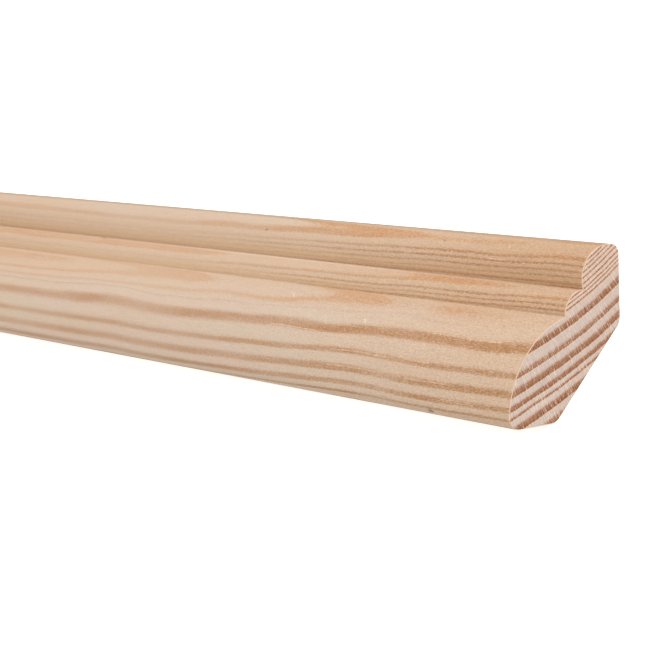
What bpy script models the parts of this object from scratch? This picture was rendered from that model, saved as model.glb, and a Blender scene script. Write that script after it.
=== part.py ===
"""A length of pine cornice moulding, machined from one stick and lying on its back.

The section is drawn as it is fitted, in the corner of a wall and a ceiling:
"out" runs from the nose in towards the wall, and "down" runs from the ceiling down the wall.
It is then turned by the spring angle, so that the back is underneath, and drawn out along X.
"""

import math

import bmesh
import bpy
from mathutils import Matrix, Vector

MM = 0.001

# Stock
LENGTH = 2400 * MM
SPRING_ANGLE = math.radians(45)  # slope of the back, measured from the ceiling

# The corner that the moulding fills
PROJECTION = 28.6 * MM  # nose to wall, along the ceiling
DROP = 32.0 * MM  # ceiling to the lowest edge, down the wall
CEILING_LAND = 11.7 * MM  # nose to the sharp corner of land and back

# Moulded face
OVOLO_RADIUS = 18.75 * MM  # the large round that starts at the nose
OVOLO_CENTRE_DOWN = 1.25 * MM  # its centre, below the ceiling
BEAD_SET_BACK = 14.5 * MM  # nose to the front of the small bead
BEAD_UPRIGHT = 0.2 * MM  # flat front of the small bead, before its round
TORUS_SET_BACK = 18.95 * MM  # nose to the front of the lowest round
TORUS_RADIUS = 6.2 * MM

# Eased corners
NOSE_RADIUS = 2.5 * MM
WALL_EDGE_RADIUS = 2.0 * MM
BACK_CORNER_RADIUS = 3.0 * MM

ARC_STEP = math.radians(3)  # turn from one facet to the next
SAME_POINT = 0.001 * MM  # closer points are one point

PINE_COLOUR = (0.72, 0.52, 0.35, 1.0)
PINE_ROUGHNESS = 0.55


def arc(centre, radius, start, end):
    """Points on a circle, from one angle to another."""
    steps = max(2, math.ceil(abs(end - start) / ARC_STEP))
    angles = (start + (end - start) * i / steps for i in range(steps + 1))
    return [centre + radius * Vector((math.cos(a), math.sin(a))) for a in angles]


def eased(before, corner, after, radius):
    """The corner between two straight faces, rounded to a radius."""
    to_before = (before - corner).normalized()
    to_after = (after - corner).normalized()
    half = to_before.angle(to_after) / 2
    bisector = (to_before + to_after).normalized()
    centre = corner + bisector * radius / math.sin(half)
    touch = radius / math.tan(half)
    first = corner + to_before * touch - centre
    last = corner + to_after * touch - centre
    start = math.atan2(first.y, first.x)
    turn = first.angle_signed(last)
    return arc(centre, radius, start, start - turn)


def ovolo_and_nose():
    """The nose, from the ceiling land round into the large round, up to the small bead."""
    centre = Vector((OVOLO_RADIUS, OVOLO_CENTRE_DOWN))
    # The nose touches the ceiling land, and touches the large round from inside.
    inner = OVOLO_RADIUS - NOSE_RADIUS
    nose_down = NOSE_RADIUS
    nose_out = OVOLO_RADIUS - math.sqrt(inner**2 - (nose_down - OVOLO_CENTRE_DOWN) ** 2)
    nose = Vector((nose_out, nose_down))
    meet = math.atan2(nose.y - centre.y, nose.x - centre.x) % math.tau
    end = math.acos((BEAD_SET_BACK - OVOLO_RADIUS) / OVOLO_RADIUS)
    return arc(nose, NOSE_RADIUS, math.radians(270), meet) + arc(
        centre, OVOLO_RADIUS, meet, end
    )


def small_bead(foot_down):
    """A quarter round that fills the step between the large round and the lowest one."""
    radius = TORUS_SET_BACK - BEAD_SET_BACK
    centre = Vector((TORUS_SET_BACK, foot_down + BEAD_UPRIGHT))
    return arc(centre, radius, math.pi, math.pi / 2)


def lowest_round(bead_top):
    """The lowest round, from the quirk over the small bead to the bottom edge."""
    centre = Vector((TORUS_SET_BACK + TORUS_RADIUS, DROP - TORUS_RADIUS))
    quirk = math.pi - math.asin((bead_top - centre.y) / TORUS_RADIUS)
    return arc(centre, TORUS_RADIUS, quirk, math.pi / 2)


def section():
    """The whole outline, from the ceiling land round the moulded face to the back."""
    front = ovolo_and_nose()
    bead = small_bead(front[-1].y)
    lowest = lowest_round(bead[-1].y)

    back_rise = (PROJECTION - CEILING_LAND) * math.tan(SPRING_ANGLE)
    bottom_edge = Vector((PROJECTION, DROP))
    wall_corner = Vector((PROJECTION, back_rise))
    ceiling_corner = Vector((CEILING_LAND, 0))
    return (
        front
        + bead
        + lowest
        + eased(lowest[-1], bottom_edge, wall_corner, WALL_EDGE_RADIUS)
        + eased(bottom_edge, wall_corner, ceiling_corner, BACK_CORNER_RADIUS)
        + eased(wall_corner, ceiling_corner, front[0], BACK_CORNER_RADIUS)
    )


def laid_on_back(outline):
    """Turns the section so that the back lies on the floor, and centres it over the origin."""
    turn = Matrix.Rotation(-SPRING_ANGLE, 2)
    turned = [turn @ (p - Vector((CEILING_LAND, 0))) for p in outline]
    middle = (min(p.x for p in turned) + max(p.x for p in turned)) / 2
    return [Vector((p.x - middle, p.y)) for p in turned]


def moulding():
    """The stick: its section drawn out from one sawn end to the other."""
    bm = bmesh.new()
    outline = laid_on_back(section())
    corners = [bm.verts.new((-LENGTH / 2, p.x, p.y)) for p in outline]
    bm.faces.new(corners)
    bmesh.ops.remove_doubles(bm, verts=bm.verts, dist=SAME_POINT)
    drawn = bmesh.ops.extrude_face_region(bm, geom=bm.faces[:], use_keep_orig=True)
    far_end = [v for v in drawn["geom"] if isinstance(v, bmesh.types.BMVert)]
    bmesh.ops.translate(bm, verts=far_end, vec=(LENGTH, 0, 0))
    bmesh.ops.recalc_face_normals(bm, faces=bm.faces)

    mesh = bpy.data.meshes.new("moulding")
    bm.to_mesh(mesh)
    bm.free()
    mesh.shade_smooth()
    mesh.set_sharp_from_angle(angle=math.radians(25))
    return mesh


def planed_pine():
    material = bpy.data.materials.new("planed_pine")
    material.use_nodes = True
    shader = material.node_tree.nodes["Principled BSDF"]
    shader.inputs["Base Color"].default_value = PINE_COLOUR
    shader.inputs["Roughness"].default_value = PINE_ROUGHNESS
    shader.inputs["Metallic"].default_value = 0.0
    return material


def main():
    for old in list(bpy.data.objects):
        bpy.data.objects.remove(old)
    mesh = moulding()
    mesh.materials.append(planed_pine())
    bpy.context.scene.collection.objects.link(bpy.data.objects.new("moulding", mesh))


main()
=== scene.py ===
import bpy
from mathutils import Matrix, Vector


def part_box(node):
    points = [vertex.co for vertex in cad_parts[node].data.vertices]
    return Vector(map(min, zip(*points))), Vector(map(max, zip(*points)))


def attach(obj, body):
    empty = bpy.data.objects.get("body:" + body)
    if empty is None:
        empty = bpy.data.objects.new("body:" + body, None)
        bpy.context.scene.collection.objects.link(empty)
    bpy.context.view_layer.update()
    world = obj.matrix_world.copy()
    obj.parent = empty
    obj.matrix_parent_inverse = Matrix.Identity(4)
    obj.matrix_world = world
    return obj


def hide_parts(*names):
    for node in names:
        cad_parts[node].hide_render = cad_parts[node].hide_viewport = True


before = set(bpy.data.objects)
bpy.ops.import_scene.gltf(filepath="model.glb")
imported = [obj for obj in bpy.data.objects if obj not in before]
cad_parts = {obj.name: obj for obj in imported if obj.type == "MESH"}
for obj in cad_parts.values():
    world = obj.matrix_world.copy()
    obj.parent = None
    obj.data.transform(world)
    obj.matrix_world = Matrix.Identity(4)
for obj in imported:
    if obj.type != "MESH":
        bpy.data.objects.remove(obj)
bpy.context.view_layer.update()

import math

import bmesh
import bpy
from mathutils import Matrix, Vector

# A stick of planed pine cornice moulding, seen from above its near sawn end.
# X runs along the stick to the near end, Y across its back, Z up out of the moulded face.

mm = 0.001
noiseMiddle = 0.5  # a noise texture's average
noiseSpan = (0.3, 0.7)  # where most of its values lie


# sRGB hex to linear
def linear(hexColour):
    channels = [int(hexColour[i:i + 2], 16) / 255 for i in (1, 3, 5)]
    return tuple(c / 12.92 if c <= 0.04045 else ((c + 0.055) / 1.055) ** 2.4 for c in channels) + (1.0,)


# Sockets are named or numbered, and take a value, a socket, or a node for its first output in use
def addNode(tree, kind, sockets=None, **settings):
    node = tree.nodes.new(kind)
    for name, value in settings.items():
        setattr(node, name, value)
    for name, value in (sockets or {}).items():
        socket = node.inputs[name] if isinstance(name, int) else next(
            s for s in node.inputs if s.enabled and s.name == name)
        if isinstance(value, bpy.types.Node):
            value = next(s for s in value.outputs if s.enabled)
        if isinstance(value, bpy.types.NodeSocket):
            tree.links.new(value, socket)
        else:
            socket.default_value = value
    return node


# The two sockets of Map Range that say where a value comes from
def fromSpan(low, high):
    return {"From Min": low, "From Max": high}


def setCurve(node, points, handle="AUTO_CLAMPED"):
    curve = node.mapping.curves[0]
    node.mapping.use_clip = False
    node.mapping.extend = "HORIZONTAL"
    while len(curve.points) < len(points):
        curve.points.new(0.5, 0.5)
    for point, place in zip(curve.points, points):
        point.location = place
        point.handle_type = handle
    node.mapping.update()


def setRamp(node, stops):
    ramp = node.color_ramp
    while len(ramp.elements) < len(stops):
        ramp.elements.new(0.5)
    for element, (place, colour) in zip(ramp.elements, stops):
        element.position = place
        element.color = linear(colour)


# Camera, at the photograph's angle
cameraView = {
    "place": (1.49308, -0.15088, 0.24569),
    "lookAt": (1.17648, -0.02368, 0.03692),
    "rollDegrees": -43.768,
    "lens": 117.94,
    "sensorWidth": 36.0,
}


def makeCamera():
    data = bpy.data.cameras.new("camera")
    data.lens = cameraView["lens"]
    data.sensor_width = cameraView["sensorWidth"]
    camera = bpy.data.objects.new("camera", data)
    bpy.context.scene.collection.objects.link(camera)
    place, lookAt = Vector(cameraView["place"]), Vector(cameraView["lookAt"])
    turn = (lookAt - place).to_track_quat("-Z", "Y").to_matrix()
    turn = turn @ Matrix.Rotation(math.radians(cameraView["rollDegrees"]), 3, "Z")
    camera.matrix_world = Matrix.Translation(place) @ turn.to_4x4()
    bpy.context.scene.camera = camera
    print("camera set")


# Studio: a white sweep under a bright even sky, with one large softbox off the near end
studio = {
    "floorSize": 120.0,  # m
    "floorColour": "#F4F4F4",
    "floorGlow": 0.7,  # what the camera alone sees added to the floor
    "lightColour": "#FFFFFF",
    "skyStrength": 0.64,
    "backdropStrength": 1.0,  # white, for the camera and in gloss
    "lampPower": 334.0,  # W
    "lampSize": 4.0,  # m
    "lampPlace": (5.8, 1.75, 5.5),
    "lampAim": (1.15, 0.0, 0.0),
}


def makeStudio():
    scene = bpy.context.scene
    scene.view_settings.view_transform = "Standard"
    plainLight = linear(studio["lightColour"])
    world = bpy.data.worlds.new("studio")
    world.use_nodes = True
    scene.world = world
    tree = world.node_tree
    tree.nodes.clear()
    rays = addNode(tree, "ShaderNodeLightPath")
    sky = addNode(tree, "ShaderNodeBackground", {"Color": plainLight, "Strength": studio["skyStrength"]})
    sweep = addNode(tree, "ShaderNodeBackground", {"Color": plainLight,
                                                   "Strength": studio["backdropStrength"]})
    seen = addNode(tree, "ShaderNodeMath", {0: rays.outputs["Is Camera Ray"],
                                            1: rays.outputs["Is Glossy Ray"]}, operation="MAXIMUM")
    backdrop = addNode(tree, "ShaderNodeMixShader", {0: seen, 1: sky, 2: sweep})
    addNode(tree, "ShaderNodeOutputWorld", {"Surface": backdrop})

    bm = bmesh.new()
    bmesh.ops.create_grid(bm, x_segments=1, y_segments=1, size=studio["floorSize"] / 2)
    mesh = bpy.data.meshes.new("floor")
    bm.to_mesh(mesh)
    bm.free()
    floor = bpy.data.objects.new("floor", mesh)
    scene.collection.objects.link(floor)
    material = bpy.data.materials.new("whitePaperFloor")
    material.use_nodes = True
    tree = material.node_tree
    tree.nodes.clear()
    rays = addNode(tree, "ShaderNodeLightPath")
    paper = addNode(tree, "ShaderNodeBsdfDiffuse", {"Color": linear(studio["floorColour"])})
    glow = addNode(tree, "ShaderNodeEmission", {"Color": plainLight, "Strength": studio["floorGlow"]})
    lit = addNode(tree, "ShaderNodeAddShader", {0: paper, 1: glow})
    seen = addNode(tree, "ShaderNodeMixShader", {0: rays.outputs["Is Camera Ray"], 1: paper, 2: lit})
    addNode(tree, "ShaderNodeOutputMaterial", {"Surface": seen})
    mesh.materials.append(material)

    data = bpy.data.lights.new("softbox", "AREA")
    data.energy = studio["lampPower"]
    data.size = studio["lampSize"]
    lamp = bpy.data.objects.new("softbox", data)
    scene.collection.objects.link(lamp)
    place = Vector(studio["lampPlace"])
    aim = Vector(studio["lampAim"]) - place
    lamp.matrix_world = Matrix.Translation(place) @ aim.to_track_quat("-Z", "Y").to_matrix().to_4x4()
    print("studio lit")


# The growth rings of the board that the stick was cut from, in mm.
# "across" runs outwards from the pith and "along" runs round a ring, both from the section's middle,
# "length" runs from the near end, and "depth" counts the wood laid down from the pith outwards.
rings = {
    "nearEnd": 1.2,  # m
    "middle": (-1.747 * mm, 8.273 * mm),  # Y, Z
    "outwardDegrees": -112.74,
    "bend": 0.00418,  # per mm, half of one over the distance to the pith
    # How the bend and the spacing change over the section
    "skew": 0.00347,
    "hook": 0.0000636,
    "spread": -0.0000864,
    # Where each band of latewood starts and ends, in depth
    "fineFrom": -19.8,
    "fine": [(-19.0, -18.6), (-17.8, -17.4), (-16.6, -16.1), (-15.3, -14.9), (-14.35, -14.0),
             (-13.1, -12.6), (-11.84, -11.58), (-11.12, -10.88), (-10.31, -10.05), (-9.41, -9.15),
             (-8.42, -8.14), (-7.49, -7.25), (-6.78, -6.54), (-6.02, -5.74)],
    "wideFrom": -5.3,
    "wide": [(-4.05, -2.82), (-0.65, 0.22), (1.75, 2.95), (4.2, 5.1), (6.02, 6.46), (7.75, 8.95),
             (10.5, 11.65), (13.3, 14.4), (16.0, 17.0)],
    "afterLast": (2.0, 0.4),  # how much earlywood follows the last band, and its share of a ring
    # How far the rings have moved outwards at some lengths, for six parts of the section by "along"
    "drift": {
        "nose": [(0, 0.03), (30, 0.38), (45, 0.14), (57, 0.36), (70, 0.82), (90, 1.33), (124, 1.86),
                 (140, 1.68), (155, 1.88), (240, 2.2)],
        "ovolo": [(0, 0.03), (14, 0.38), (27, 0.3), (50, 0.56), (63, 0.95), (73, 0.85), (90, 1.22),
                  (126, 1.72), (143, 1.35), (158, 1.65), (175, 2.05), (240, 2.2)],
        "hollow": [(0, 0.03), (28, 0.68), (41, 0.46), (52, 0.68), (70, 0.95), (80, 1.22), (105, 1.28),
                   (118, 1.5), (150, 1.7), (185, 2.15), (240, 2.3)],
        "step": [(0, 0.03), (6, 0.06), (24, 0.45), (45, 0.58), (56, 0.82), (73, 0.95), (94, 1.07),
                 (117, 1.38), (130, 1.5), (240, 1.6)],
        "crown": [(0, 0.03), (6, 0.0), (24, 0.31), (45, 0.35), (53, 0.5), (73, 0.71), (94, 0.87),
                  (130, 1.08), (145, 1.19), (185, 1.09), (240, 0.9)],
        "top": [(0, 0.03), (6, 0.0), (20, 0.33), (42, 0.28), (56, 0.58), (78, 0.78), (88, 0.95),
                (100, 1.35), (125, 1.55), (240, 1.6)],
    },
    "partEdges": [(-12.5, -9.5), (-8.0, -5.0), (0.5, 3.5), (8.6, 11.0), (12.9, 14.2)],
    "farDrift": 1.6,
    # How they wander over the rest of the stick: how far, from where, in what length, by which noise span
    "wander": 2.0,
    "wanderFrom": (200.0, 420.0),
    "wanderSize": 260.0,
    "wanderSpan": (0.2, 0.8),
    # How far they waver, at three sizes along, outwards and round
    "wavers": [(0.06, (16.0, 4.0, 4.0)), (0.03, (5.0, 0.4, 0.4)), (0.07, (0.8, 0.25, 0.25))],
    "waverDetail": 1.5,
}


# Adds the wood's own coordinates, in mm
def addRings(tree):
    coords = addNode(tree, "ShaderNodeTexCoord")
    place = addNode(tree, "ShaderNodeMapping", {
        "Vector": coords.outputs["Object"],
        "Location": (rings["nearEnd"], *rings["middle"]),
        "Rotation": (math.radians(rings["outwardDegrees"]), 0, 0),
        "Scale": (-mm, mm, mm),
    }, vector_type="TEXTURE")
    length, across, along = addNode(tree, "ShaderNodeSeparateXYZ", {"Vector": place}).outputs

    bend = addNode(tree, "ShaderNodeMath", {0: along, 1: rings["hook"], 2: rings["bend"]},
                   operation="MULTIPLY_ADD")
    bend = addNode(tree, "ShaderNodeMath", {0: across, 1: rings["spread"], 2: bend},
                   operation="MULTIPLY_ADD")
    skew = addNode(tree, "ShaderNodeMath", {0: along, 1: rings["skew"], 2: 1.0}, operation="MULTIPLY_ADD")
    flat = addNode(tree, "ShaderNodeMath", {0: across, 1: skew}, operation="MULTIPLY")
    square = addNode(tree, "ShaderNodeMath", {0: along, 1: along}, operation="MULTIPLY")
    depth = addNode(tree, "ShaderNodeMath", {0: square, 1: bend, 2: flat}, operation="MULTIPLY_ADD")

    # The drift along the stick goes from one part of the section over to the next
    drift = None
    for points, edge in zip(rings["drift"].values(), [None] + rings["partEdges"]):
        part = addNode(tree, "ShaderNodeFloatCurve", {"Value": length})
        setCurve(part, points)
        if edge:
            share = addNode(tree, "ShaderNodeMapRange", {"Value": along, **fromSpan(*edge)},
                            interpolation_type="SMOOTHSTEP")
            part = addNode(tree, "ShaderNodeMix", {"Factor": share, "A": drift, "B": part})
        drift = part

    # Past the stretch in the photograph the whole section drifts as one, and slowly
    away = addNode(tree, "ShaderNodeMapRange", {"Value": length, **fromSpan(*rings["wanderFrom"])},
                   interpolation_type="SMOOTHSTEP")
    drift = addNode(tree, "ShaderNodeMix", {"Factor": away, "A": drift, "B": rings["farDrift"]})
    depth = addNode(tree, "ShaderNodeMath", {0: depth, 1: drift}, operation="SUBTRACT")
    slow = addNode(tree, "ShaderNodeMath", {0: length, 1: rings["wanderSize"]}, operation="DIVIDE")
    slow = addNode(tree, "ShaderNodeTexNoise", {"W": slow, "Scale": 1.0, "Detail": 1.0},
                   noise_dimensions="1D")
    slow = addNode(tree, "ShaderNodeMapRange", {
        "Value": slow, **fromSpan(*rings["wanderSpan"]), "To Min": -rings["wander"],
        "To Max": rings["wander"]}, clamp=False)
    depth = addNode(tree, "ShaderNodeMath", {0: slow, 1: away, 2: depth}, operation="MULTIPLY_ADD")
    for amount, size in rings["wavers"]:
        fitted = addNode(tree, "ShaderNodeMapping", {"Vector": place, "Scale": [1 / s for s in size]})
        wave = addNode(tree, "ShaderNodeTexNoise", {"Vector": fitted, "Scale": 1.0,
                                                    "Detail": rings["waverDetail"]})
        wave = addNode(tree, "ShaderNodeMapRange", {
            "Value": wave, **fromSpan(*noiseSpan), "To Min": -amount, "To Max": amount}, clamp=False)
        depth = addNode(tree, "ShaderNodeMath", {0: depth, 1: wave}, operation="ADD")
    return {"place": place, "length": length, "across": across, "along": along, "depth": depth,
            "normal": coords.outputs["Normal"]}


# Adds the place within a ring, 0 to 0.5 through the earlywood and on to 1 through the latewood, for the
# fine rings inside and the wide ones outside, and whether a point is in the wide ones
def addRingPhases(tree, wood):
    for name in ("fine", "wide"):
        points = [(rings[name + "From"], 0.0)]
        for i, (start, end) in enumerate(rings[name]):
            points += [(start, i + 0.5), (end, i + 1.0)]
        more, share = rings["afterLast"]
        points.append((end + more, len(rings[name]) + share))
        count = addNode(tree, "ShaderNodeFloatCurve", {"Value": wood["depth"]})
        setCurve(count, points, "VECTOR")
        wood[name + "Phase"] = addNode(tree, "ShaderNodeMath", {0: count}, operation="FRACT")
    wood["isWide"] = addNode(tree, "ShaderNodeMath", {0: wood["depth"], 1: rings["wideFrom"]},
                             operation="GREATER_THAN")


# Planed pine: softwood cut by moulder knives, pale and nearly matt, with straight fibres that end in fine
# flecks. The latewood shows as darker bands where the rings run out, thin lines where they are fine, and
# light orange patches where the knife ran level with a ring.
planedFace = {
    "colours": {
        "pale": "#D8BFAA",
        "straw": "#D7C0A8",
        "warm": "#D7B89B",
        "old": "#D8B99C",  # between the fine rings
        "dense": "#CDA683",  # between the finest, near the end
        "latewood": "#B6855B",
        "fineLatewood": "#B47F56",
        "levelLatewood": "#C99160",
        "canal": "#E6C6A6",
        # painted shade on the crown's outer side
        "paintedEdgeShade": "#8E7A68",
    },
    "roughness": 0.7,
    "specular": 0.2,
    "fibreBump": 0.02 * mm,
    # Sizes of the patterns along, outwards and round the rings, in mm. Pine's fibres are about 3 by
    # 0.03 mm, which would not show, so fibres and flecks are drawn coarser.
    "patterns": {"cloud": (38.0, 5.0, 5.0), "tint": (55.0, 7.0, 7.0), "fibre": (3.5, 0.22, 0.22),
                 "fleck": (0.6, 0.18, 0.18), "uneven": (24.0, 2.0, 8.0), "canal": (22.0, 0.3, 0.3)},
    "curves": {
        # How warm the earlywood is, and how strong each kind of latewood and the flecks are
        "length": {
            "warmth": [(0, 1.0), (20, 0.9), (42, 0.45), (60, 0.25), (85, 0.0), (160, 0.05), (240, 0.3),
                       (400, 0.35)],
            "wideStrength": [(0, 1.0), (25, 0.98), (40, 0.85), (55, 0.9), (75, 0.8), (105, 0.8),
                             (125, 0.68), (150, 0.84), (185, 0.76), (240, 0.8)],
            "wideDip": [(0, 0.15), (25, 0.12), (37, 0.3), (50, 0.0), (90, 0.06), (130, 0.04),
                        (150, 0.18), (240, 0.16)],
            "fineStrength": [(0, 0.85), (50, 0.68), (80, 0.5), (100, 0.35), (125, 0.14), (170, 0.08),
                             (260, 0.3), (400, 0.45)],
            "levelStrength": [(0, 1.0), (75, 1.0), (110, 0.66), (240, 0.62)],
            "fleckStrength": [(0, 1.5), (50, 1.1), (120, 0.45), (240, 0.25)],
        },
        "depth": {
            "levelShare": [(-13.5, 1.15), (-12.4, 1.15), (-11.9, 0.95), (-8.5, 0.85), (-6.0, 0.66)],
            "old": [(-16.0, 0.2), (-13.3, 0.15), (-12.2, 0.8), (-8.0, 0.8), (-5.4, 0.0)],
            "dense": [(-13.4, 0.6), (-11.6, 0.8), (-9.0, 0.85), (-8.2, 0.5), (-6.0, 0.4), (-5.3, 0.0)],
        },
        "finePhase": {
            "line": [(0.0, 0.35), (0.1, 0.04), (0.3, 0.04), (0.5, 0.5), (0.62, 1.0), (0.86, 1.0),
                     (1.0, 0.35)],
        },
        "widePhase": {
            "nearBand": [(0.0, 0.3), (0.05, 0.06), (0.1, 0.0), (0.38, 0.0), (0.46, 0.12), (0.54, 0.55),
                         (0.62, 0.9), (0.7, 1.0), (0.86, 1.0), (0.94, 0.8), (1.0, 0.45)],
            "farBand": [(0.0, 0.5), (0.05, 0.25), (0.12, 0.03), (0.2, 0.0), (0.34, 0.0), (0.44, 0.2),
                        (0.52, 0.5), (0.62, 0.85), (0.74, 1.0), (0.86, 0.92), (0.95, 0.7), (1.0, 0.5)],
        },
    },
    "farBandsFrom": (55.0, 130.0),  # from where the bands have soft sides
    "dipFrom": (-2.4, -1.2),  # from what depth some lengths have weaker bands
    "levelFrom": (0.78, 0.97),  # how squarely the surface faces out from the pith
    # Where in its noise the latewood weakens, and what is left of it there
    "streaks": ((0.35, 0.6), 0.6),
    "uneven": ((0.35, 0.6), 0.72),
    "tintFrom": (0.4, 0.65),
    "cloudAmount": 0.25,
    "fibreAmount": 0.16,
    "fleckAmount": 0.52,
    "bandFleck": 0.6,
    # Painted shade on the crown's outer side, which turns away from the light: how far its surface faces
    # out and up
    "edgeShadeFrom": (0.5, 1.0),
    "edgeShadeAbove": (-0.2, 0.1),
    "edgeShadeAmount": 0.8,
    # Painted shade and painted light at the quirks: outwards and round, in mm, how wide, the colour, and
    # how strong by length. The dark colours paint the shade in the quirks' corners, the pale one paints
    # light that lifts the shade beside a corner, and the warm ones paint light bounced off the wood.
    "quirkShadeAndLight": [
        ((-7.6, 7.7), (0.2, 0.9), "#EBD3BC", [(0, 0.1), (25, 0.2), (60, 0.6), (105, 0.7), (130, 0.5),
                                              (180, 0.3)]),
        ((-8.1, 8.75), (0.1, 0.35), "#B0743F", [(0, 0.6), (30, 0.5), (60, 0.25), (90, 0.0)]),
        ((-8.4, 9.3), (0.3, 1.8), "#DFBA8E", [(0, 0.2), (60, 0.4), (110, 0.5), (240, 0.4)]),
        ((-5.5, 3.1), (0.3, 1.4), "#DFBA8E", [(0, 0.0), (60, 0.3), (110, 0.4), (240, 0.3)]),
        ((-5.2, 2.65), (0.1, 0.35), "#9C6C45", [(0, 0.25), (60, 0.15), (100, 0.1), (130, 0.0)]),
    ],
    # Resin canals cut open lengthwise: from and to in length, and depth
    "canals": [(8, 28, -3.93), (25, 33, -0.42), (38, 56, -0.2), (19, 31, 2.14), (40, 56, 2.12),
               (8, 20, 4.42), (10, 22, 4.7), (22, 27, -11.2), (63, 79, -2.98)],
    "canalWidth": 0.04,
    "canalAmount": 0.85,
    "strayCanals": ((0.72, 0.78), 0.5),  # where in their noise, and how strong
    # Marks: place, size and turn about the way out, in mm and degrees, then colour and strength
    "marks": [
        ((23.0, 6.9, -17.3), (1.1, 0.6, 0.4), 0, "#6E6254", 0.7),
        ((169.0, -7.75, 7.7), (1.3, 0.4, 0.4), 0, "#967250", 0.7),
        ((102.5, -12.1, 11.7), (0.7, 0.4, 0.3), 0, "#9A7654", 0.7),
        ((42.0, -12.65, 13.0), (0.5, 0.4, 0.25), 0, "#A07A58", 0.8),
        ((22.5, -12.5, 12.9), (1.2, 0.6, 0.14), -58, "#EACBA6", 0.8),
        ((25.6, -12.5, 13.0), (0.9, 0.6, 0.12), -58, "#E6C7A2", 0.6),
        ((79.2, -5.1, -2.1), (1.6, 0.6, 0.22), -38, "#F0E0CE", 0.5),
        ((49.8, -4.1, -6.7), (1.5, 0.6, 0.2), -38, "#F0E0CE", 0.6),
    ],
    "markCore": 0.5,  # how much of a mark is at its full strength
}


def planedPine():
    material = bpy.data.materials.new("planedPineFace")
    material.use_nodes = True
    tree = material.node_tree
    shader = tree.nodes["Principled BSDF"]
    wood = addRings(tree)
    addRingPhases(tree, wood)
    colours = {name: linear(value) for name, value in planedFace["colours"].items()}

    noises = {}
    for name, size in planedFace["patterns"].items():
        fitted = addNode(tree, "ShaderNodeMapping", {"Vector": wood["place"],
                                                     "Scale": [1 / s for s in size]})
        noises[name] = addNode(tree, "ShaderNodeTexNoise", {"Vector": fitted, "Scale": 1.0, "Detail": 1.0})
    curves = {}
    for measure, shapes in planedFace["curves"].items():
        for name, points in shapes.items():
            curves[name] = addNode(tree, "ShaderNodeFloatCurve", {"Value": wood[measure]})
            setCurve(curves[name], points)

    # A line in each fine ring, or a light patch where the surface lies level with it
    turn = math.radians(rings["outwardDegrees"])
    outwards = (0, math.cos(turn), math.sin(turn))
    level = addNode(tree, "ShaderNodeVectorMath", {0: wood["normal"], 1: outwards},
                    operation="DOT_PRODUCT")
    level = addNode(tree, "ShaderNodeMath", {0: level.outputs["Value"]}, operation="ABSOLUTE")
    level = addNode(tree, "ShaderNodeMapRange", {"Value": level, **fromSpan(*planedFace["levelFrom"])})
    strength = addNode(tree, "ShaderNodeMath", {0: curves["levelShare"], 1: curves["levelStrength"]},
                       operation="MULTIPLY")
    span, least = planedFace["streaks"]
    streaks = addNode(tree, "ShaderNodeMapRange", {"Value": noises["fibre"], **fromSpan(*span),
                                                   "To Min": least})
    strength = addNode(tree, "ShaderNodeMath", {0: strength, 1: streaks}, operation="MULTIPLY")
    strength = addNode(tree, "ShaderNodeMix", {"Factor": level, "A": curves["fineStrength"], "B": strength})
    fine = addNode(tree, "ShaderNodeMath", {0: curves["line"], 1: strength}, operation="MULTIPLY")

    # A band in each wide ring, with softer sides farther along
    far = addNode(tree, "ShaderNodeMapRange", {"Value": wood["length"],
                                               **fromSpan(*planedFace["farBandsFrom"])})
    wide = addNode(tree, "ShaderNodeMix", {"Factor": far, "A": curves["nearBand"], "B": curves["farBand"]})
    dips = addNode(tree, "ShaderNodeMapRange", {"Value": wood["depth"], **fromSpan(*planedFace["dipFrom"])})
    dips = addNode(tree, "ShaderNodeMath", {0: dips, 1: curves["wideDip"]}, operation="MULTIPLY")
    strength = addNode(tree, "ShaderNodeMath", {0: curves["wideStrength"], 1: dips}, operation="SUBTRACT")
    wide = addNode(tree, "ShaderNodeMath", {0: wide, 1: strength}, operation="MULTIPLY")

    late = addNode(tree, "ShaderNodeMix", {"Factor": wood["isWide"], "A": fine, "B": wide})
    span, least = planedFace["uneven"]
    uneven = addNode(tree, "ShaderNodeMapRange", {"Value": noises["uneven"], **fromSpan(*span),
                                                  "To Min": least})
    late = addNode(tree, "ShaderNodeMath", {0: late, 1: uneven}, operation="MULTIPLY")
    fleck = addNode(tree, "ShaderNodeMath", {0: noises["fleck"], 1: noiseMiddle}, operation="SUBTRACT")
    fleck = addNode(tree, "ShaderNodeMath", {0: fleck, 1: curves["fleckStrength"]}, operation="MULTIPLY")
    flecks = addNode(tree, "ShaderNodeMath", {0: fleck, 1: -2 * planedFace["bandFleck"], 2: 1.0},
                     operation="MULTIPLY_ADD")
    late = addNode(tree, "ShaderNodeMath", {0: late, 1: flecks}, operation="MULTIPLY", use_clamp=True)

    # Earlywood, warmer in clouds and older towards the pith
    tint = addNode(tree, "ShaderNodeMapRange", {"Value": noises["tint"],
                                                **fromSpan(*planedFace["tintFrom"])})
    clouds = addNode(tree, "ShaderNodeMapRange", {
        "Value": noises["cloud"], **fromSpan(*noiseSpan), "To Min": -planedFace["cloudAmount"],
        "To Max": planedFace["cloudAmount"]})
    clouds = addNode(tree, "ShaderNodeMath", {0: clouds, 1: curves["warmth"]}, operation="ADD",
                     use_clamp=True)
    dense = addNode(tree, "ShaderNodeMath", {0: curves["dense"], 1: curves["warmth"]}, operation="MULTIPLY")
    colour = colours["pale"]
    for name, share in {"straw": tint, "warm": clouds, "old": curves["old"], "dense": dense}.items():
        colour = addNode(tree, "ShaderNodeMix", {"Factor": share, "A": colour, "B": colours[name]},
                         data_type="RGBA")
    band = addNode(tree, "ShaderNodeMix", {"Factor": level, "A": colours["fineLatewood"],
                                           "B": colours["levelLatewood"]}, data_type="RGBA")
    band = addNode(tree, "ShaderNodeMix", {"Factor": wood["isWide"], "A": band, "B": colours["latewood"]},
                   data_type="RGBA")
    colour = addNode(tree, "ShaderNodeMix", {"Factor": late, "A": colour, "B": band}, data_type="RGBA")
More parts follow.
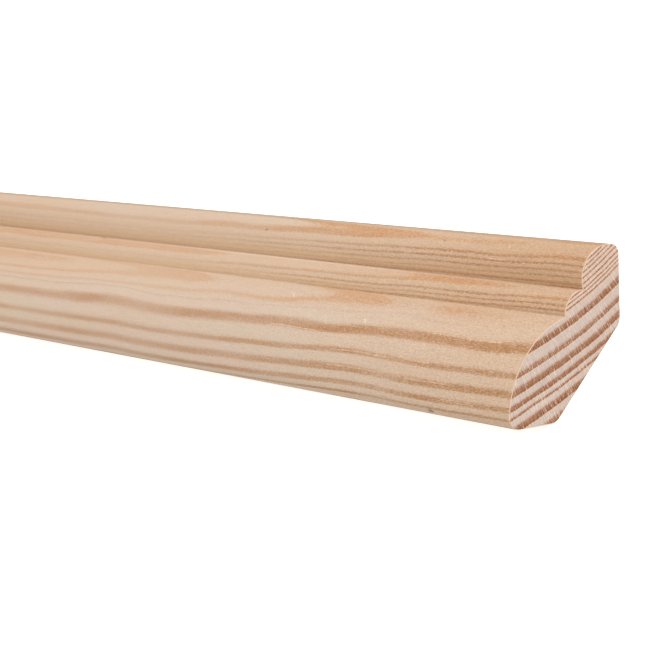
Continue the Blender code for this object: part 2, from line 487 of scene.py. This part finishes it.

    # Painted shade darkens the quirks' corners, and painted light makes the wood beside them paler or
    # warmer
    for (across, along), (narrow, broad), paintedCornerColour, points in planedFace["quirkShadeAndLight"]:
        paintedCornerMask = addNode(tree, "ShaderNodeVectorMath", {0: wood["place"], 1: (0, 1, 1)},
                         operation="MULTIPLY")
        paintedCornerMask = addNode(tree, "ShaderNodeVectorMath", {0: paintedCornerMask, 1: (0, across, along)},
                         operation="DISTANCE")
        paintedCornerMask = addNode(tree, "ShaderNodeMapRange", {
            "Value": paintedCornerMask.outputs["Value"], **fromSpan(narrow, broad), "To Min": 1.0, "To Max": 0.0},
            interpolation_type="SMOOTHSTEP")
        strength = addNode(tree, "ShaderNodeFloatCurve", {"Value": wood["length"]})
        setCurve(strength, points)
        share = addNode(tree, "ShaderNodeMath", {0: paintedCornerMask, 1: strength}, operation="MULTIPLY")
        colour = addNode(tree, "ShaderNodeMix", {"Factor": share, "A": colour, "B": linear(paintedCornerColour)},
                         data_type="RGBA")

    # Resin canals show as thin pale lines
    span, most = planedFace["strayCanals"]
    canals = addNode(tree, "ShaderNodeMapRange", {"Value": noises["canal"], **fromSpan(*span),
                                                  "To Max": most})
    for start, end, deep in planedFace["canals"]:
        inDepth = addNode(tree, "ShaderNodeMath", {0: wood["depth"], 1: deep, 2: planedFace["canalWidth"]},
                          operation="COMPARE")
        inLength = addNode(tree, "ShaderNodeMath", {0: wood["length"], 1: (start + end) / 2,
                                                    2: (end - start) / 2}, operation="COMPARE")
        canal = addNode(tree, "ShaderNodeMath", {0: inDepth, 1: inLength}, operation="MULTIPLY")
        canals = addNode(tree, "ShaderNodeMath", {0: canals, 1: canal}, operation="MAXIMUM")
    canals = addNode(tree, "ShaderNodeMath", {0: canals, 1: flecks}, operation="MULTIPLY")
    canals = addNode(tree, "ShaderNodeMath", {0: canals, 1: planedFace["canalAmount"]},
                     operation="MULTIPLY", use_clamp=True)
    colour = addNode(tree, "ShaderNodeMix", {"Factor": canals, "A": colour, "B": colours["canal"]},
                     data_type="RGBA")

    for place, size, degrees, markColour, strength in planedFace["marks"]:
        spot = addNode(tree, "ShaderNodeMapping", {
            "Vector": wood["place"], "Location": place, "Rotation": (0, math.radians(degrees), 0),
            "Scale": size}, vector_type="TEXTURE")
        spot = addNode(tree, "ShaderNodeVectorMath", {0: spot}, operation="LENGTH")
        spot = addNode(tree, "ShaderNodeMapRange", {
            "Value": spot.outputs["Value"], **fromSpan(planedFace["markCore"], 1.0), "To Min": strength,
            "To Max": 0.0})
        colour = addNode(tree, "ShaderNodeMix", {"Factor": spot, "A": colour, "B": linear(markColour)},
                         data_type="RGBA")

    # Painted shade: the strip facing out and up is darker and greyer
    facing = addNode(tree, "ShaderNodeSeparateXYZ", {"Vector": wood["normal"]}).outputs
    edgeShadeMask = addNode(tree, "ShaderNodeMapRange", {
        "Value": facing["Y"], **fromSpan(*planedFace["edgeShadeFrom"]), "To Max": planedFace["edgeShadeAmount"]})
    above = addNode(tree, "ShaderNodeMapRange", {"Value": facing["Z"],
                                                 **fromSpan(*planedFace["edgeShadeAbove"])})
    edgeShadeMask = addNode(tree, "ShaderNodeMath", {0: edgeShadeMask, 1: above}, operation="MULTIPLY")
    colour = addNode(tree, "ShaderNodeMix", {"Factor": edgeShadeMask, "A": colour, "B": colours["paintedEdgeShade"]},
                     data_type="RGBA")

    # Fibres and flecks lighten and darken it all
    shade = addNode(tree, "ShaderNodeMath", {
        0: noises["fibre"], 1: planedFace["fibreAmount"], 2: 1.0 - planedFace["fibreAmount"] * noiseMiddle},
        operation="MULTIPLY_ADD")
    shade = addNode(tree, "ShaderNodeMath", {0: fleck, 1: planedFace["fleckAmount"], 2: shade},
                    operation="MULTIPLY_ADD")
    colour = addNode(tree, "ShaderNodeHueSaturation", {"Value": shade, "Color": colour})
    tree.links.new(colour.outputs[0], shader.inputs["Base Color"])

    bump = addNode(tree, "ShaderNodeBump", {"Strength": 1.0, "Distance": planedFace["fibreBump"],
                                            "Height": noises["fibre"]})
    tree.links.new(bump.outputs[0], shader.inputs["Normal"])
    shader.inputs["Roughness"].default_value = planedFace["roughness"]
    shader.inputs["Specular IOR Level"].default_value = planedFace["specular"]
    print("planed face grained")
    return material


# Sawn end grain: the saw cut the fibres across, so it is rough, matt and a little greyer and pinker.
# The rings show as strong bands, finely toothed inside and sharp outside, crossed by thin pale rays.
sawnEnd = {
    "colours": {
        "early": "#CAB7AB",
        "fringe": "#D4B8A0",  # just outside a band
        "before": "#BFA696",  # just inside one
        "old": "#D7B8A3",  # between the fine rings
        "lateDark": "#8A5637",
        "latePale": "#B08467",
        "fineLate": "#8E6145",
        "ray": "#EEDED2",
    },
    "roughness": 0.9,
    "specular": 0.1,
    "sawBump": 0.04 * mm,
    # Sizes of the patterns along, outwards and round the rings, in mm. Rows of cells and rays are under
    # 0.05 mm wide, which would not show, so they are drawn coarser.
    "patterns": {"column": (2.0, 2.4, 0.16), "tooth": (2.0, 2.5, 0.22), "ray": (3.0, 7.0, 0.42),
                 "speck": (1.0, 0.4, 0.2)},
    "patternDetail": 2.0,
    "patternRoughness": 0.65,
    # Within a wide ring: where its earlywood changes colour and its band starts, and the teeth's length
    "earlyStops": [(0.0, "fringe"), (0.05, "fringe"), (0.12, "early"), (0.34, "early"), (0.48, "before")],
    "bandStart": (0.46, 0.54),
    "tooth": 0.15,
    "palenessFrom": (0.5, 0.95),
    "paleness": (0.25, -0.3),
    # Within a fine ring, and how its line is broken
    "fineLine": [(0.0, 0.2), (0.08, 0.0), (0.4, 0.0), (0.5, 0.4), (0.58, 1.0), (0.92, 1.0), (1.0, 0.2)],
    "breaksFrom": 0.6,
    "breaksTo": 0.55,
    "columnAmount": 0.26,
    "speckAmount": 0.26,
    "rayWidth": 0.016,
    "rayAmount": 0.8,
    "rayLean": -0.12,  # round the rings, for each mm outwards
}


def sawnEndGrain():
    material = bpy.data.materials.new("sawnPineEndGrain")
    material.use_nodes = True
    tree = material.node_tree
    shader = tree.nodes["Principled BSDF"]
    wood = addRings(tree)
    addRingPhases(tree, wood)
    colours = {name: linear(value) for name, value in sawnEnd["colours"].items()}

    # Rays fan out from the pith and lean a little, so the way round a ring is measured as an angle
    out = addNode(tree, "ShaderNodeMath", {0: wood["across"], 1: 2 * rings["bend"], 2: 1.0},
                  operation="MULTIPLY_ADD")
    around = addNode(tree, "ShaderNodeMath", {0: wood["along"], 1: out}, operation="DIVIDE")
    around = addNode(tree, "ShaderNodeMath", {0: wood["depth"], 1: sawnEnd["rayLean"], 2: around},
                     operation="MULTIPLY_ADD")
    fan = addNode(tree, "ShaderNodeCombineXYZ", {"X": wood["length"], "Y": wood["depth"], "Z": around})
    noises = {}
    for name, size in sawnEnd["patterns"].items():
        fitted = addNode(tree, "ShaderNodeMapping", {"Vector": fan, "Scale": [1 / s for s in size]})
        noises[name] = addNode(tree, "ShaderNodeTexNoise", {
            "Vector": fitted, "Scale": 1.0, "Detail": sawnEnd["patternDetail"],
            "Roughness": sawnEnd["patternRoughness"]})
    columns = addNode(tree, "ShaderNodeMapRange", {"Value": noises["column"], **fromSpan(*noiseSpan)})

    # The latewood's inner side is toothed and its outer side is sharp
    tooth = addNode(tree, "ShaderNodeMapRange", {
        "Value": noises["tooth"], **fromSpan(*noiseSpan), "To Min": -sawnEnd["tooth"] / 2,
        "To Max": sawnEnd["tooth"] / 2}, clamp=False)
    ragged = addNode(tree, "ShaderNodeMath", {0: wood["widePhase"], 1: tooth}, operation="ADD")
    wide = addNode(tree, "ShaderNodeMapRange", {"Value": ragged, **fromSpan(*sawnEnd["bandStart"])})
    fine = addNode(tree, "ShaderNodeFloatCurve", {"Value": wood["finePhase"]})
    setCurve(fine, sawnEnd["fineLine"])
    broken = addNode(tree, "ShaderNodeMapRange", {"Value": columns, "From Max": sawnEnd["breaksFrom"],
                                                  "To Min": sawnEnd["breaksTo"]})
    fine = addNode(tree, "ShaderNodeMath", {0: fine, 1: broken}, operation="MULTIPLY")
    late = addNode(tree, "ShaderNodeMix", {"Factor": wood["isWide"], "A": fine, "B": wide})

    early = addNode(tree, "ShaderNodeValToRGB", {"Fac": wood["widePhase"]})
    setRamp(early, [(place, sawnEnd["colours"][name]) for place, name in sawnEnd["earlyStops"]])
    early = addNode(tree, "ShaderNodeMix", {"Factor": wood["isWide"], "A": colours["old"], "B": early},
                    data_type="RGBA")
    # A band is palest at its inner side and darkest at its outer side
    most, least = sawnEnd["paleness"]
    pale = addNode(tree, "ShaderNodeMapRange", {
        "Value": wood["widePhase"], **fromSpan(*sawnEnd["palenessFrom"]), "To Min": most, "To Max": least})
    pale = addNode(tree, "ShaderNodeMath", {0: columns, 1: pale}, operation="ADD", use_clamp=True)
    band = addNode(tree, "ShaderNodeMix", {"Factor": pale, "A": colours["lateDark"],
                                           "B": colours["latePale"]}, data_type="RGBA")
    band = addNode(tree, "ShaderNodeMix", {"Factor": wood["isWide"], "A": colours["fineLate"], "B": band},
                   data_type="RGBA")
    colour = addNode(tree, "ShaderNodeMix", {"Factor": late, "A": early, "B": band}, data_type="RGBA")

    # A ray runs wherever its pattern passes the middle value
    rays = addNode(tree, "ShaderNodeMath", {0: noises["ray"], 1: noiseMiddle}, operation="SUBTRACT")
    rays = addNode(tree, "ShaderNodeMath", {0: rays}, operation="ABSOLUTE")
    rays = addNode(tree, "ShaderNodeMapRange", {"Value": rays, "From Max": sawnEnd["rayWidth"],
                                                "To Min": sawnEnd["rayAmount"], "To Max": 0.0})
    colour = addNode(tree, "ShaderNodeMix", {"Factor": rays, "A": colour, "B": colours["ray"]},
                     data_type="RGBA")
    shade = 1.0 - (sawnEnd["columnAmount"] + sawnEnd["speckAmount"]) * noiseMiddle
    shade = addNode(tree, "ShaderNodeMath", {0: columns, 1: sawnEnd["columnAmount"], 2: shade},
                    operation="MULTIPLY_ADD")
    shade = addNode(tree, "ShaderNodeMath", {0: noises["speck"], 1: sawnEnd["speckAmount"], 2: shade},
                    operation="MULTIPLY_ADD")
    colour = addNode(tree, "ShaderNodeHueSaturation", {"Value": shade, "Color": colour})
    tree.links.new(colour.outputs[0], shader.inputs["Base Color"])
    bump = addNode(tree, "ShaderNodeBump", {"Strength": 1.0, "Distance": sawnEnd["sawBump"],
                                            "Height": columns})
    tree.links.new(bump.outputs[0], shader.inputs["Normal"])
    shader.inputs["Roughness"].default_value = sawnEnd["roughness"]
    shader.inputs["Specular IOR Level"].default_value = sawnEnd["specular"]
    print("sawn ends grained")
    return material


# The stick, cut square at both ends, with the saw's arrises worn round
stick = {
    "endEase": 0.12 * mm,
    "easeSteps": 3,
    "easeFacing": 0.1,  # how much a face on a rounded arris looks towards its end, at least
    # pale: partly cut fibres, partly a painted highlight along the arris
    "arrisColourAndHighlight": "#DFBE9F",
    "easeRoughness": 0.9,
    "supportFromEnd": 0.6 * mm,
    "sharpDegrees": 35,
    "tolerance": 0.001 * mm,
}


# Worn pine arris, fully matt: its pale colour is partly fresh cut fibre ends and partly a painted highlight
# where the arris catches the light
def arrisWithPaintedHighlight():
    material = bpy.data.materials.new("pineArrisWithPaintedHighlight")
    material.use_nodes = True
    shader = material.node_tree.nodes["Principled BSDF"]
    shader.inputs["Base Color"].default_value = linear(stick["arrisColourAndHighlight"])
    shader.inputs["Roughness"].default_value = stick["easeRoughness"]
    return material


# The solid is a plain extrusion, so the outline of its near end is drawn out again with rounded arrises
def makeStick():
    bm = bmesh.new()
    bm.from_mesh(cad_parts["moulding"].data)
    tolerance = stick["tolerance"]
    bmesh.ops.remove_doubles(bm, verts=bm.verts, dist=tolerance)
    low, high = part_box("moulding")
    cap = [f for f in bm.faces if all(abs(v.co.x - high[0]) < tolerance for v in f.verts)]
    cap = bmesh.ops.dissolve_faces(bm, faces=cap)["region"][0]
    outline = [v.co.yz for v in cap.verts]
    bm.clear()
    inwards = []
    for i, point in enumerate(outline):
        before, after = point - outline[i - 1], outline[(i + 1) % len(outline)] - point
        run = before.normalized() + after.normalized()
        inwards.append(Vector((-run.y, run.x)).normalized())

    # How far each ring of points is from its end, and how far it is drawn in
    ease = stick["endEase"]
    angles = [math.pi / 2 * i / stick["easeSteps"] for i in range(stick["easeSteps"] + 1)]
    steps = [(ease * (1 - math.sin(angle)), ease * (1 - math.cos(angle))) for angle in angles]
    steps.insert(0, (stick["supportFromEnd"], 0.0))
    stations = [(high[0] - back, draw) for back, draw in reversed(steps)]
    stations += [(low[0] + back, draw) for back, draw in steps]
    nearEnd = farEnd = bm.faces.new([bm.verts.new((high[0], *point)) for point in outline])
    for i, (x, draw) in enumerate(stations):
        if i > 0:  # of the faces that are drawn out, only the near end stays
            grown = bmesh.ops.extrude_face_region(bm, geom=[farEnd, *farEnd.edges], use_keep_orig=i == 1)
            farEnd = next(f for f in grown["geom"] if isinstance(f, bmesh.types.BMFace))
        for vert, point, inward in zip(farEnd.verts, outline, inwards):
            vert.co = (x, *(point + inward * draw))
    bmesh.ops.recalc_face_normals(bm, faces=bm.faces)

    bm.normal_update()
    for face in bm.faces:
        onArris = abs(face.normal.x) > stick["easeFacing"]
        face.material_index = 1 if face in (nearEnd, farEnd) else 2 if onArris else 0
        face.smooth = True
    for edge in bm.edges:
        onEnd = any(f.material_index == 1 for f in edge.link_faces)
        edge.smooth = edge.calc_face_angle(0) < math.radians(stick["sharpDegrees"]) and not onEnd
    mesh = bpy.data.meshes.new("mouldingStick")
    bm.to_mesh(mesh)
    bm.free()
    for material in (planedPine(), sawnEndGrain(), arrisWithPaintedHighlight()):
        mesh.materials.append(material)
    piece = bpy.data.objects.new("mouldingStick", mesh)
    bpy.context.scene.collection.objects.link(piece)
    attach(piece, "root")
    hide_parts("moulding")
    print("stick made,", len(mesh.polygons), "faces")


makeCamera()
makeStudio()
makeStick()
